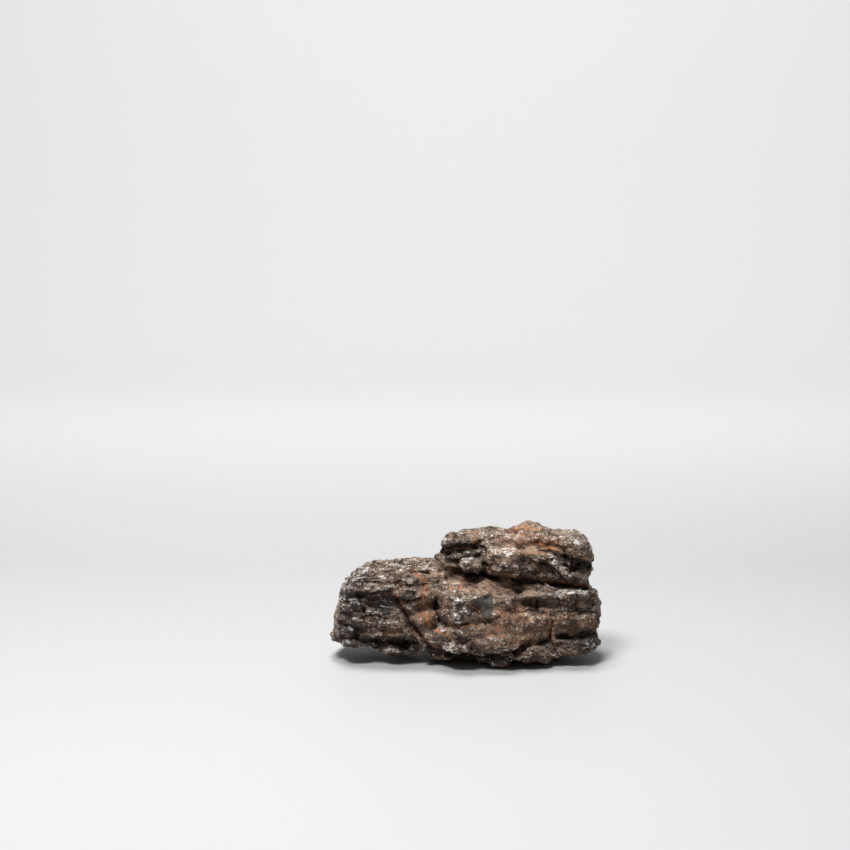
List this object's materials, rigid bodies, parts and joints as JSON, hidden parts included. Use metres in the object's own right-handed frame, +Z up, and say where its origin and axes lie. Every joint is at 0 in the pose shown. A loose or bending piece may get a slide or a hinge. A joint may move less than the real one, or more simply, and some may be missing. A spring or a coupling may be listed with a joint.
{
  "type": "pagoda rock",
  "caption": "Pagoda rock: bedded, weathered limestone with a narrower upper tier set back on a broad lower tier, a dark cleft between them, and a small flat spot underneath to rest on.",
  "frame": {"origin": "middle of the rock's bounding box in X and Y, at the level that it stands on", "axes": "+X to the rock's right-hand end, its longest extent; -Y to its front, the side with the bulge; +Z up, its shortest extent"},
  "size_m": [0.15, 0.088, 0.075],
  "materials": {
    "weathered_limestone": "dull, rough weathered limestone, brown and grey, with pale dust on its edges and orange veins"
  },
  "bodies": {
    "root": {"pagoda_rock": "weathered_limestone"}
  },
  "joints": []
}
